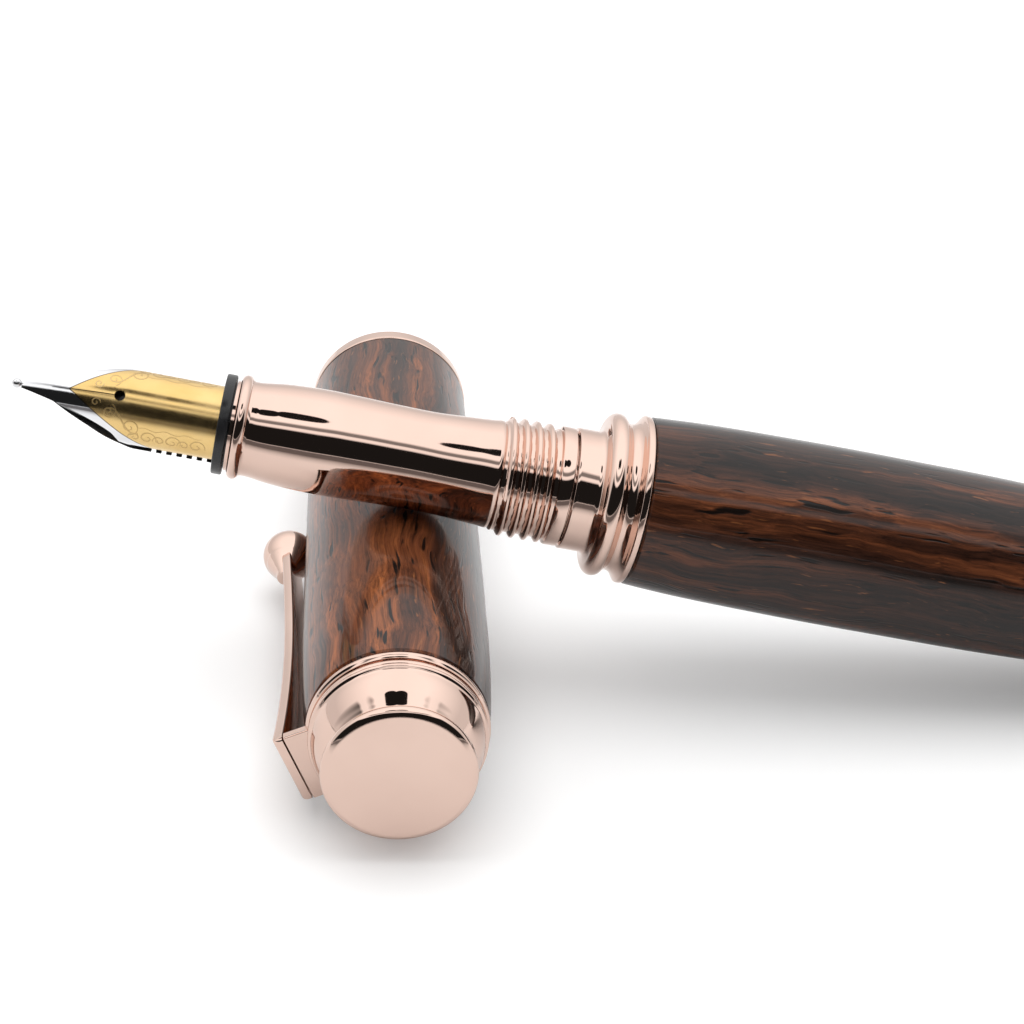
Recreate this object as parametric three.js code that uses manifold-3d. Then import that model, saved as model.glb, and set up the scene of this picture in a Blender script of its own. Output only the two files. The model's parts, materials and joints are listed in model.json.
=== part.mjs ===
// A turned-wood fountain pen lying across its own cap on a flat surface.
// Units are millimetres and +Z is up. The pen runs along X with its nib towards -X,
// and the cap lies under it, roughly along Y, with its mouth towards +Y.
import * as THREE from 'three';
import * as BufferGeometryUtils from 'three/addons/utils/BufferGeometryUtils.js';
import Module from 'manifold-3d';

const wasm = await Module();
wasm.setup();

// ---------------------------------------------------------------- driving dimensions
const SIDES = 24;                 // facets round every turned piece
const FIT = 0.1;                  // radial clearance between nested pieces
const JOINT = 0.12;               // end gap between pieces that butt together

// Cap, along its own axis: 0 at the closed end of the clip ring, positive to the mouth.
const CAP_LENGTH = 64.5;
const CAP_REST_RADIUS = 8.2;      // the lip ring and the widest wood, on which the cap lies
const CAP_TUBE_RADIUS = 6.7;
const CAP_TUBE_BORE = 6.3;
const LIP_RING_LENGTH = 2.4;
const LIP_RING_BORE = 5.9;
const THREAD_INSERT_LENGTH = 9;
const THREAD_INSERT_BORE = 5.55;
const INNER_CAP_START = 9;
const INNER_CAP_LENGTH = 29;
const INNER_CAP_BORE = 4.85;
const BELL_RADIUS = 7.25;
const BELL_LENGTH = 4.7;
const FINIAL_RADIUS = 6.17;
const FINIAL_THICKNESS = 1.2;
const STUD_RADIUS = 1.9;
const BUSHING_END = 7;

// Clip.
const CLIP_RING_THICKNESS = 0.8;
const CLIP_RING_RADIUS = 7.3;
const CLIP_WIDTH_AT_BEND = 6.4;
const CLIP_WIDTH_AT_BALL = 3.2;
const CLIP_REACH = 9.6;           // from the cap's axis to the strap's outer face at the bend
const CLIP_THICKNESS = 0.9;
const CLIP_BALL_RADIUS = 2.5;
const CLIP_BALL_STATION = 36.5;

// Pen, along its own axis: 0 at the front edge of the barrel wood, positive to the nib.
const BARREL_FRONT_RADIUS = 7.52;
const BARREL_MAX_RADIUS = 8.05;
const BARREL_END_RADIUS = 6.7;
const BARREL_WOOD_LENGTH = 64;
const BARREL_TUBE_RADIUS = 5.75;
const BARREL_TUBE_BORE = 5.35;
const COUPLER_SHOULDER = 6.2;     // front face of the coupler
const COUPLER_SLEEVE_LENGTH = 6;
const COUPLER_BORE = 4.85;
const END_TRIM_LENGTH = 7;
const SECTION_SHOULDER = 6.35;    // rear face of the section's last land
const SECTION_STUB_LENGTH = 12;   // threaded stub inside the coupler
const THREAD_PITCH = 1.13;
const THREAD_COUNT = 4;
const THREAD_CREST = 5.28;
const THREAD_ROOT = 4.85;
const SECTION_FRONT = 36.1;
const NIB_BORE = 3.8;
const CONVERTER_BORE = 3.85;
const COLLAR_RADIUS = 4.38;
const COLLAR_LENGTH = 0.9;
const HOUSING_LENGTH = 6.8;
const NIB_TIP = 54;
const NIB_SHOULDER = 45.2;
const NIB_BASE = 30;
const NIB_RADIUS = 3.25;
const NIB_THICKNESS = 0.32;
const NIB_WRAP = 100;             // degrees either side of the slit, on the nib's body
const FEED_RADIUS = 2.7;
const FIN_RADIUS = 3.5;
const FIN_PITCH = 0.88;
const FIN_COUNT = 6;
const CONVERTER_MOUTH = 18;
const CONVERTER_TUBE_LENGTH = 48;
const CONVERTER_RADIUS = 3.4;
const CONVERTER_TUBE_BORE = 2.8;
const KNOB_LENGTH = 14;
const KNOB_GROOVES = 3;
const ROD_RADIUS = 1.1;

// How the two lie. Azimuths are degrees anticlockwise from +X, seen from above.
const CAP_AZIMUTH = 92.6;
const CLIP_DROP = 23;             // clip's way, below the level, on the cap's left
const PEN_FRONT_X = 20.1;         // barrel's front edge, from the cap's clip ring
const PEN_FRONT_Y = 24.1;
const CROSSING = 21.2;            // where the section lies on the cap, along the pen
const END_REST = -65.2;           // where the barrel's end ring rests, along the pen
const SECTION_CONTACT_RADIUS = 4.47;
const CAP_CONTACT_RADIUS = 8.08;
const NIB_ROLL = 50;              // nib's face turned from straight up towards -Y

// ---------------------------------------------------------------- shape helpers
function turned(points) {
  // A solid of revolution about Z from [radius, z] points; a bored piece's outline closes on itself.
  const outline = points.map(([radius, z]) => new THREE.Vector2(Math.max(radius, 0), z));
  if (points[0][0] > 0) outline.push(outline[0].clone());
  const geometry = new THREE.LatheGeometry(outline, SIDES);
  geometry.rotateX(Math.PI / 2);
  return facingOut(geometry);
}

function merged(geometry) {
  const bare = geometry.clone();
  bare.deleteAttribute('normal');
  bare.deleteAttribute('uv');
  return BufferGeometryUtils.mergeVertices(bare, 1e-4);
}

function facingOut(geometry) {
  const shape = merged(geometry);
  const place = shape.attributes.position;
  const index = Array.from(shape.index.array);
  const corners = [0, 1, 2].map(() => new THREE.Vector3());
  const kept = [];
  let volume = 0;
  for (let i = 0; i < index.length; i += 3) {
    const [a, b, c] = index.slice(i, i + 3);
    if (a === b || b === c || c === a) continue;
    corners.forEach((corner, k) => corner.fromBufferAttribute(place, index[i + k]));
    volume += corners[0].dot(corners[1].clone().cross(corners[2]));
    kept.push([a, b, c]);
  }
  shape.setIndex(kept.flatMap(([a, b, c]) => (volume > 0 ? [a, b, c] : [a, c, b])));
  return shape;
}

function solid(geometry) {
  const shape = facingOut(geometry);
  return new wasm.Manifold(new wasm.Mesh({
    numProp: 3,
    vertProperties: new Float32Array(shape.attributes.position.array),
    triVerts: new Uint32Array(shape.index.array),
  }));
}

function fromSolid(manifold) {
  const mesh = manifold.getMesh();
  const geometry = new THREE.BufferGeometry();
  geometry.setAttribute('position', new THREE.BufferAttribute(new Float32Array(mesh.vertProperties), 3));
  geometry.setIndex(Array.from(mesh.triVerts));
  geometry.computeVertexNormals();
  return geometry;
}

function sleeve(bore, radius, from, to) {
  return turned([[bore, from], [radius, from], [radius, to], [bore, to]]);
}

function rod(radius, from, to) {
  return turned([[0, from], [radius, from], [radius, to], [0, to]]);
}

function block(xFrom, xTo, yFrom, yTo, zFrom, zTo) {
  const geometry = new THREE.BoxGeometry(xTo - xFrom, yTo - yFrom, zTo - zFrom);
  geometry.translate((xFrom + xTo) / 2, (yFrom + yTo) / 2, (zFrom + zTo) / 2);
  return geometry;
}

function arc(centreR, centreZ, radius, fromDegrees, toDegrees, steps) {
  // Points on a circle in the [radius, z] plane; 0 degrees points away from the axis.
  return Array.from({ length: steps + 1 }, (_, i) => {
    const angle = THREE.MathUtils.degToRad(fromDegrees + ((toDegrees - fromDegrees) * i) / steps);
    return [centreR + radius * Math.cos(angle), centreZ + radius * Math.sin(angle)];
  });
}

function smooth(points, steps) {
  // A curve through [radius, z] points.
  const knots = points.map(([radius, z]) => new THREE.Vector3(radius, z, 0));
  const curve = new THREE.CatmullRomCurve3(knots, false, 'centripetal');
  return curve.getPoints(steps).map((point) => [point.x, point.y]);
}

const between = (from, to, t) => from + (to - from) * t;

// ---------------------------------------------------------------- materials
function finish(color, roughness, metalness, extra = {}) {
  return () => new THREE.MeshStandardMaterial({ color, roughness, metalness, ...extra });
}
const roseGold = finish(0xe6bfae, 0.06, 1);
const nibGold = finish(0xe8c78f, 0.12, 1);
const tippingMetal = finish(0xc9c9cc, 0.18, 1);
const brass = finish(0xc9a24a, 0.3, 1);
const darkWood = finish(0x43241a, 0.22, 0);
const blackPlastic = finish(0x141416, 0.3, 0);
const clearPlastic = finish(0xdfe6ea, 0.08, 0, { transparent: true, opacity: 0.4 });
const sealRubber = finish(0x1c1c1e, 0.6, 0);
const satinSteel = finish(0xb9bcc0, 0.3, 1);

const cap = new THREE.Group();
const pen = new THREE.Group();

function add(group, name, geometry, material) {
  const mesh = new THREE.Mesh(geometry, material());
  mesh.name = name;
  group.add(mesh);
}

// ---------------------------------------------------------------- cap
const woodStart = CLIP_RING_THICKNESS + JOINT;
const woodEnd = CAP_LENGTH - LIP_RING_LENGTH - JOINT;

function capWood() {
  const knots = [[7.45, woodStart], [7.78, 6], [8.02, 16], [8.12, 30], [8.17, 45], [8.14, woodEnd]];
  const outside = smooth(knots, 8);
  const bore = CAP_TUBE_RADIUS + FIT;
  return turned([[bore, woodStart], ...outside, [bore, woodEnd]]);
}

function capLipRing() {
  // A bored ring with a half-round rim that covers the mouth end of the wood.
  const from = CAP_LENGTH - LIP_RING_LENGTH;
  const round = 0.9;
  return turned([
    [LIP_RING_BORE, from], [CAP_REST_RADIUS - 0.15, from], [CAP_REST_RADIUS, from + 0.5],
    ...arc(CAP_REST_RADIUS - round, CAP_LENGTH - round, round, 0, 90, 4),
    [LIP_RING_BORE + 0.4, CAP_LENGTH], [LIP_RING_BORE, CAP_LENGTH - 0.4],
  ]);
}

function capThreadInsert() {
  // Female thread for the section, as a row of shallow ridges.
  const to = woodEnd;
  const from = to - THREAD_INSERT_LENGTH;
  const ridge = 0.3;
  const ridges = [];
  for (let i = 0; i < THREAD_COUNT; i += 1) {
    const z = to - 1.2 - i * THREAD_PITCH;
    ridges.push([THREAD_INSERT_BORE + ridge, z], [THREAD_INSERT_BORE, z - THREAD_PITCH / 2]);
  }
  const radius = CAP_TUBE_BORE - FIT;
  return turned([[radius, from], [radius, to], [THREAD_INSERT_BORE + ridge, to], ...ridges,
    [THREAD_INSERT_BORE + ridge, from]]);
}

function innerCap() {
  // A plain cup that closes round the nib, open towards the mouth.
  const to = INNER_CAP_START + INNER_CAP_LENGTH;
  const radius = CAP_TUBE_BORE - FIT;
  const floor = INNER_CAP_START + 1.4;
  return turned([[0, INNER_CAP_START], [radius, INNER_CAP_START], [radius, to], [INNER_CAP_BORE + 0.5, to],
    [INNER_CAP_BORE, to - 1], [INNER_CAP_BORE, floor], [0, floor]]);
}

function capBell() {
  // Two beads at the wide edge, then a cove that narrows to the finial's neck.
  const bore = STUD_RADIUS + FIT;
  const neck = 5.2;
  const rim = -JOINT;
  const bead = arc(BELL_RADIUS - 0.45, rim - 0.5, 0.45, 60, -60, 3);
  const knots = [[BELL_RADIUS - 0.45, rim - 1.25], [6.55, -2.0], [5.75, -3.1], [neck, -BELL_LENGTH]];
  const cove = smooth(knots, 5);
  return turned([[bore, rim], [BELL_RADIUS - 0.3, rim], ...bead, ...cove, [bore, -BELL_LENGTH]]);
}

function capFinial() {
  const round = FINIAL_THICKNESS / 2;
  const rear = -BELL_LENGTH - JOINT;
  const edge = arc(FINIAL_RADIUS - round, rear - round, round, 90, -90, 5);
  return turned([[0, rear], [FINIAL_RADIUS - round - 0.6, rear], ...edge, [0, rear - FINIAL_THICKNESS]]);
}

function clipBracket() {
  // The clip's ring, clamped under the bell, and the flat plate that reaches out to its bend.
  const ring = solid(sleeve(STUD_RADIUS + FIT, CLIP_RING_RADIUS, 0, CLIP_RING_THICKNESS));
  const half = CLIP_WIDTH_AT_BEND / 2;
  const reach = CLIP_REACH - CLIP_THICKNESS - JOINT;
  return fromSolid(ring.add(solid(block(CLIP_RING_RADIUS - 2, reach, -half, half, 0, CLIP_RING_THICKNESS))));
}

function clipBallCentre() {
  // The ball bears on the wood where it is widest.
  return CAP_REST_RADIUS + CLIP_BALL_RADIUS;
}

function clip() {
  // The sprung strap that starts at the bend, tapers and ends in a ball.
  const half = CLIP_WIDTH_AT_BEND / 2;
  const steps = 9;
  const ballCentre = clipBallCentre();
  const side = new THREE.Shape();
  const spine = Array.from({ length: steps + 1 }, (_, i) => {
    const t = i / steps;
    const lift = (ballCentre - CLIP_THICKNESS * 0.8 - (CLIP_REACH - CLIP_THICKNESS / 2)) * t * t;
    return [CLIP_REACH - CLIP_THICKNESS / 2 + lift, CLIP_BALL_STATION * t];
  });
  side.setFromPoints([
    ...spine.map(([x, z]) => new THREE.Vector2(x + CLIP_THICKNESS / 2, z)),
    ...spine.reverse().map(([x, z]) => new THREE.Vector2(x - CLIP_THICKNESS / 2, z)),
  ]);
  const band = new THREE.ExtrudeGeometry(side, { depth: CLIP_WIDTH_AT_BEND, bevelEnabled: false });
  band.translate(0, 0, -half);
  band.rotateX(Math.PI / 2);
  const plan = new THREE.Shape();
  const narrow = CLIP_WIDTH_AT_BALL / 2;
  plan.moveTo(-half, 0);
  plan.lineTo(half, 0);
  plan.quadraticCurveTo(narrow, CLIP_BALL_STATION * 0.2, narrow, CLIP_BALL_STATION * 0.75);
  plan.lineTo(narrow, CLIP_BALL_STATION);
  plan.lineTo(-narrow, CLIP_BALL_STATION);
  plan.lineTo(-narrow, CLIP_BALL_STATION * 0.75);
  plan.quadraticCurveTo(-narrow, CLIP_BALL_STATION * 0.2, -half, 0);
  const taper = new THREE.ExtrudeGeometry(plan, { depth: 20, bevelEnabled: false, curveSegments: 6 });
  taper.rotateX(Math.PI / 2);
  taper.rotateZ(Math.PI / 2);
  const strap = solid(band).intersect(solid(taper));
  const sphere = new THREE.SphereGeometry(CLIP_BALL_RADIUS, 16, 10);
  sphere.rotateX(Math.PI / 2);
  sphere.translate(ballCentre, 0, CLIP_BALL_STATION);
  return fromSolid(strap.add(solid(sphere)));
}

add(cap, 'cap_wood', capWood(), darkWood);
add(cap, 'cap_tube', sleeve(CAP_TUBE_BORE, CAP_TUBE_RADIUS, woodStart, woodEnd), brass);
add(cap, 'cap_lip_ring', capLipRing(), roseGold);
add(cap, 'cap_thread_insert', capThreadInsert(), blackPlastic);
add(cap, 'inner_cap', innerCap(), blackPlastic);
add(cap, 'cap_bushing', sleeve(STUD_RADIUS + FIT, CAP_TUBE_BORE - FIT, woodStart, BUSHING_END), brass);
add(cap, 'cap_bell', capBell(), roseGold);
add(cap, 'cap_finial', capFinial(), roseGold);
add(cap, 'finial_stud', rod(STUD_RADIUS, -BELL_LENGTH, BUSHING_END + 0.6), satinSteel);
add(cap, 'clip_bracket', clipBracket(), roseGold);
add(cap, 'clip', clip(), roseGold);

// ---------------------------------------------------------------- barrel
function barrelWood() {
  const outside = smooth([[BARREL_END_RADIUS, -BARREL_WOOD_LENGTH], [7.45, -50], [7.95, -35],
    [BARREL_MAX_RADIUS, -24], [7.95, -10], [BARREL_FRONT_RADIUS, -JOINT]], 10);
  const bore = BARREL_TUBE_RADIUS + FIT;
  return turned([[bore, -BARREL_WOOD_LENGTH], ...outside, [bore, -JOINT]]);
}

function barrelCoupler() {
  // Land, big bead, cove and lip in front of the wood, then a sleeve inside the barrel's tube.
  const outside = [
    ...arc(6.6, 0.45, 0.4, 90, 0, 2).map(([r, z]) => [r + 0.5, z]).reverse(),
    ...smooth([[7.1, 0.95], [6.75, 1.35], [6.6, 1.95]], 3),
    ...arc(6.35, 2.85, 0.95, -60, 90, 5),
    [5.42, 3.85], [5.42, COUPLER_SHOULDER - 0.15], [5.27, COUPLER_SHOULDER],
  ];
  return turned([[COUPLER_BORE, -COUPLER_SLEEVE_LENGTH], [BARREL_TUBE_BORE - FIT, -COUPLER_SLEEVE_LENGTH],
    [BARREL_TUBE_BORE - FIT, 0], [BARREL_FRONT_RADIUS, 0], ...outside, [COUPLER_BORE, COUPLER_SHOULDER]]);
}

function barrelEndRing() {
  // Trim ring on the end of the wood, with a plug inside the tube.
  const face = -BARREL_WOOD_LENGTH - JOINT;
  const bore = STUD_RADIUS + FIT;
  return turned([[bore, face - 1.6], [BARREL_END_RADIUS - 0.5, face - 1.6],
    ...arc(BARREL_END_RADIUS - 0.5, face - 1, 0.5, -70, 60, 4), [BARREL_END_RADIUS - 0.4, face],
    [BARREL_TUBE_BORE - FIT, face], [BARREL_TUBE_BORE - FIT, face + 5], [bore, face + 5]]);
}

function barrelFinial() {
  // A small cove that opens to a domed end, with a threaded stud into the end ring.
  const face = -BARREL_WOOD_LENGTH - JOINT * 2 - 1.6;
  const end = -BARREL_WOOD_LENGTH - END_TRIM_LENGTH;
  return turned([[0, end], [3.2, end + 0.25], ...arc(4.3, end + 1.35, 0.85, -60, 70, 4), [4.15, end + 2.7],
    [4.6, face - 0.9], [5.6, face], [STUD_RADIUS, face], [STUD_RADIUS, face + 5], [0, face + 5]]);
}

const tubeFront = -COUPLER_SLEEVE_LENGTH - 0.6;
const tubeRear = -BARREL_WOOD_LENGTH + 0.6;
add(pen, 'barrel_wood', barrelWood(), darkWood);
add(pen, 'barrel_tube', sleeve(BARREL_TUBE_BORE, BARREL_TUBE_RADIUS, tubeRear, tubeFront), brass);
add(pen, 'barrel_coupler', barrelCoupler(), roseGold);
add(pen, 'barrel_end_ring', barrelEndRing(), roseGold);
add(pen, 'barrel_finial', barrelFinial(), roseGold);

// ---------------------------------------------------------------- section
function sectionGrip() {
  // From the rear: stub inside the coupler, plain land, thread, waisted grip and front bead.
  const stub = COUPLER_BORE - FIT;
  const rear = -SECTION_STUB_LENGTH + SECTION_SHOULDER;
  const web = CONVERTER_MOUTH + 1;
  const threadEnd = SECTION_SHOULDER + 1.35;
  const thread = [];
  for (let i = 0; i < THREAD_COUNT; i += 1) {
    const z = threadEnd + i * THREAD_PITCH;
    thread.push([THREAD_ROOT, z + 0.25], [THREAD_CREST, z + 0.5], [THREAD_CREST, z + 0.85]);
  }
  const gripStart = threadEnd + THREAD_COUNT * THREAD_PITCH + 0.35;
  const grip = smooth([[4.8, gripStart], [4.62, 15], [4.42, 18.5], [4.47, 22], [4.58, 26], [4.6, 28.5],
    [4.4, 32], [4.12, 34.3]], 9);
  return turned([
    [CONVERTER_BORE, rear], [stub - 0.3, rear], [stub, rear + 0.4], [stub, SECTION_SHOULDER],
    [5.3, SECTION_SHOULDER], [5.3, threadEnd], ...thread, [THREAD_ROOT - 0.1, gripStart - 0.1],
    ...grip, ...arc(4.06, 35.3, 0.5, -70, 90, 4), [4.0, SECTION_FRONT],
    [NIB_BORE, SECTION_FRONT], [NIB_BORE, 24], [2.3, 24], [2.3, web + 0.6], [CONVERTER_BORE, web],
  ]);
}

add(pen, 'section_grip', sectionGrip(), roseGold);

// ---------------------------------------------------------------- nib unit
function nibStation(t) {
  // Along the nib, 0 at its base and 1 at its tip: place, top height, arc radius and half angle.
  const z = between(NIB_BASE, NIB_TIP, t);
  const tine = Math.max(0, (z - NIB_SHOULDER) / (NIB_TIP - NIB_SHOULDER));
  const body = Math.max(0, 1 - Math.max(0, z - NIB_SHOULDER + 1.6) / 1.6);
  const top = NIB_RADIUS - 2.1 * tine ** 1.6;
  const radius = NIB_RADIUS - 0.9 * tine;
  const width = between(NIB_RADIUS * 0.985, 0.42, tine ** 0.82);
  const tineAngle = Math.asin(Math.min(0.999, width / radius));
  const angle = between(tineAngle, THREE.MathUtils.degToRad(NIB_WRAP), body);
  return { z, top, radius, angle };
}

function nibShell() {
  // A curved sheet: outer skin, inner skin and the edges between them.
  const alongSteps = 16;
  const roundSteps = 12;
  const vertices = [];
  const triangles = [];
  const at = (skin, i, j) => (skin * (alongSteps + 1) + i) * (roundSteps + 1) + j;
  for (let skin = 0; skin < 2; skin += 1) {
    for (let i = 0; i <= alongSteps; i += 1) {
      const { z, top, radius, angle } = nibStation((i / alongSteps) ** 0.8);
      for (let j = 0; j <= roundSteps; j += 1) {
        const turn = between(-angle, angle, j / roundSteps);
        const reach = radius - skin * NIB_THICKNESS;
        vertices.push(reach * Math.sin(turn), top - radius + reach * Math.cos(turn), z);
      }
    }
  }
  const quad = (a, b, c, d) => triangles.push(a, b, c, a, c, d);
  for (let i = 0; i < alongSteps; i += 1) {
    for (let j = 0; j < roundSteps; j += 1) {
      quad(at(0, i, j), at(0, i, j + 1), at(0, i + 1, j + 1), at(0, i + 1, j));
      quad(at(1, i, j), at(1, i + 1, j), at(1, i + 1, j + 1), at(1, i, j + 1));
    }
    quad(at(0, i, 0), at(0, i + 1, 0), at(1, i + 1, 0), at(1, i, 0));
    quad(at(0, i, roundSteps), at(1, i, roundSteps), at(1, i + 1, roundSteps), at(0, i + 1, roundSteps));
  }
  for (let j = 0; j < roundSteps; j += 1) {
    quad(at(0, 0, j), at(1, 0, j), at(1, 0, j + 1), at(0, 0, j + 1));
    quad(at(0, alongSteps, j), at(0, alongSteps, j + 1), at(1, alongSteps, j + 1), at(1, alongSteps, j));
  }
  const geometry = new THREE.BufferGeometry();
  geometry.setAttribute('position', new THREE.Float32BufferAttribute(vertices, 3));
  geometry.setIndex(triangles);
  return facingOut(geometry);
}

function nib() {
  const slit = solid(block(-0.06, 0.06, 0, NIB_RADIUS + 1, NIB_SHOULDER + 0.6, NIB_TIP + 1));
  const hole = new THREE.CylinderGeometry(0.45, 0.45, 4, 14);
  hole.translate(0, NIB_RADIUS, NIB_SHOULDER + 0.4);
  return fromSolid(solid(nibShell()).subtract(slit).subtract(solid(hole)));
}

function nibTipping() {
  const { top, radius, z } = nibStation(1);
  const pellet = new THREE.SphereGeometry(0.5, 12, 8);
  pellet.scale(0.9, 0.8, 1);
  pellet.translate(0, top - NIB_THICKNESS / 2, z + 0.5 + 0.04);
  return facingOut(pellet);
}

function feed() {
  // A core under the nib that tapers to a point, with a finned belly below the nib's edges.
  const taperStart = NIB_SHOULDER - 1.2;
  const core = turned([[0, NIB_BASE - 4], [FEED_RADIUS - 0.5, NIB_BASE - 4], [FEED_RADIUS, NIB_BASE - 3],
    [FEED_RADIUS, taperStart], [1.6, taperStart + 4.4], [0.45, taperStart + 7.8], [0, taperStart + 8.2]]);
  const comb = [[0, NIB_BASE]];
  comb.push([FIN_RADIUS, NIB_BASE]);
  const firstSlot = SECTION_FRONT + COLLAR_LENGTH + 0.5;
  for (let i = 0; i < FIN_COUNT; i += 1) {
    const z = firstSlot + i * FIN_PITCH;
    comb.push([FIN_RADIUS, z], [FIN_RADIUS - 0.75, z], [FIN_RADIUS - 0.75, z + 0.4], [FIN_RADIUS, z + 0.4]);
  }
  comb.push([FIN_RADIUS, taperStart + 0.4], [2.1, taperStart + 4.6]);
  comb.push([0.8, taperStart + 8], [0, taperStart + 8.3]);
  const below = solid(block(-6, 6, -6, -0.95, NIB_BASE - 1, NIB_TIP));
  return fromSolid(solid(core).add(solid(turned(comb)).intersect(below)));
}

function nibHousing() {
  // A black collar in front of the section, with a threaded sleeve inside it.
  const front = SECTION_FRONT + JOINT + COLLAR_LENGTH;
  const rear = front - COLLAR_LENGTH - HOUSING_LENGTH;
  const bore = FIN_RADIUS + 0.06;
  return turned([[bore, rear], [NIB_BORE - FIT * 0.7, rear], [NIB_BORE - FIT * 0.7, SECTION_FRONT + JOINT],
    [COLLAR_RADIUS, SECTION_FRONT + JOINT], [COLLAR_RADIUS, front - 0.12], [COLLAR_RADIUS - 0.12, front],
    [bore, front]]);
}

add(pen, 'nib_housing', nibHousing(), blackPlastic);
add(pen, 'nib', nib(), nibGold);
add(pen, 'nib_tipping', nibTipping(), tippingMetal);
add(pen, 'feed', feed(), blackPlastic);

// ---------------------------------------------------------------- converter
const converterRear = CONVERTER_MOUTH - CONVERTER_TUBE_LENGTH;

function converterTube() {
  const step = converterRear + 8;
  return turned([[CONVERTER_TUBE_BORE, converterRear], [CONVERTER_RADIUS - 0.3, converterRear],
    [CONVERTER_RADIUS - 0.3, step], [CONVERTER_RADIUS, step], [CONVERTER_RADIUS, CONVERTER_MOUTH - 1.5],
    [CONVERTER_RADIUS - 0.3, CONVERTER_MOUTH], [CONVERTER_TUBE_BORE, CONVERTER_MOUTH]]);
}

function converterSleeve() {
  // Trim round the stepped-down rear of the tube.
  const bore = CONVERTER_RADIUS - 0.3 + FIT;
  return sleeve(bore, CONVERTER_RADIUS + 0.35, converterRear, converterRear + 7.8);
}

function converterNut() {
  // Closes the rear of the tube and guides the piston rod.
  return turned([[ROD_RADIUS + FIT, converterRear - 1.2], [CONVERTER_RADIUS, converterRear - 1.2],
    [CONVERTER_RADIUS, converterRear - JOINT], [CONVERTER_TUBE_BORE - FIT, converterRear - JOINT],
    [CONVERTER_TUBE_BORE - FIT, converterRear + 3], [ROD_RADIUS + FIT, converterRear + 3]]);
}

function converterKnob() {
  const from = converterRear - 1.2 - JOINT;
  const to = from - KNOB_LENGTH;
  const grooves = [];
  for (let i = 0; i < KNOB_GROOVES; i += 1) {
    const z = from - 3 - i * 3;
    grooves.push([CONVERTER_RADIUS, z], [CONVERTER_RADIUS - 0.35, z - 0.5], [CONVERTER_RADIUS, z - 1]);
  }
  const bore = ROD_RADIUS + 0.3;
  const front = [[bore, from], [CONVERTER_RADIUS - 0.4, from], [CONVERTER_RADIUS, from - 0.4]];
  const rear = [[CONVERTER_RADIUS, to + 0.5], [CONVERTER_RADIUS - 0.5, to], [0, to]];
  const hollow = [[0, to + 1], [bore, to + 1]];
  return turned([...front, ...grooves, ...rear, ...hollow]);
}

const pistonFront = CONVERTER_MOUTH - 10;
const pistonRear = pistonFront - 4;
add(pen, 'converter_tube', converterTube(), clearPlastic);
add(pen, 'converter_sleeve', converterSleeve(), roseGold);
add(pen, 'converter_nut', converterNut(), blackPlastic);
add(pen, 'converter_knob', converterKnob(), blackPlastic);
add(pen, 'converter_piston', rod(CONVERTER_TUBE_BORE - 0.06, pistonRear, pistonFront), sealRubber);
add(pen, 'converter_piston_rod', rod(ROD_RADIUS, converterRear - 2.2, pistonRear - JOINT), satinSteel);

// ---------------------------------------------------------------- placing the two
const up = new THREE.Vector3(0, 0, 1);
const azimuth = THREE.MathUtils.degToRad(CAP_AZIMUTH);
const capAlong = new THREE.Vector3(Math.cos(azimuth), Math.sin(azimuth), 0);
const capLeft = new THREE.Vector3().crossVectors(up, capAlong);
const clipDrop = THREE.MathUtils.degToRad(CLIP_DROP);
const clipWay = capLeft.clone().multiplyScalar(Math.cos(clipDrop)).addScaledVector(up, -Math.sin(clipDrop));
const capThird = new THREE.Vector3().crossVectors(capAlong, clipWay);
cap.matrix.makeBasis(clipWay, capThird, capAlong).setPosition(0, 0, CAP_REST_RADIUS);

// The pen touches the cap at the crossing and the flat surface under its end ring.
const endHeight = (tilt) => BARREL_END_RADIUS * Math.cos(tilt);
const spacing = CAP_CONTACT_RADIUS + SECTION_CONTACT_RADIUS + 0.05;
const crossingHeight = (tilt) => CAP_REST_RADIUS + spacing / Math.cos(tilt);
let slope = 0.17;
for (let i = 0; i < 8; i += 1) {
  slope = Math.asin((crossingHeight(slope) - endHeight(slope)) / (CROSSING - END_REST));
}
const penAlong = new THREE.Vector3(-Math.cos(slope), 0, Math.sin(slope));
const penUp = new THREE.Vector3(Math.sin(slope), 0, Math.cos(slope));
const roll = THREE.MathUtils.degToRad(NIB_ROLL);
const nibWay = penUp.clone().multiplyScalar(Math.cos(roll)).add(new THREE.Vector3(0, -Math.sin(roll), 0));
const penHeight = crossingHeight(slope) - CROSSING * Math.sin(slope);
const penSide = new THREE.Vector3().crossVectors(nibWay, penAlong);
pen.matrix.makeBasis(penSide, nibWay, penAlong).setPosition(PEN_FRONT_X, PEN_FRONT_Y, penHeight);
for (const group of [cap, pen]) {
  group.matrix.decompose(group.position, group.quaternion, group.scale);
}

// The origin is under the middle of the whole object.
const model = new THREE.Group();
model.add(cap, pen);
model.updateMatrixWorld(true);
const box = new THREE.Box3().setFromObject(model, true);
const centre = box.getCenter(new THREE.Vector3());
model.position.set(-centre.x, -centre.y, -box.min.z);
model.updateMatrixWorld(true);

export default model;
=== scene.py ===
import json
import math

import bmesh
import bpy
from mathutils import Matrix, Vector, noise


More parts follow.
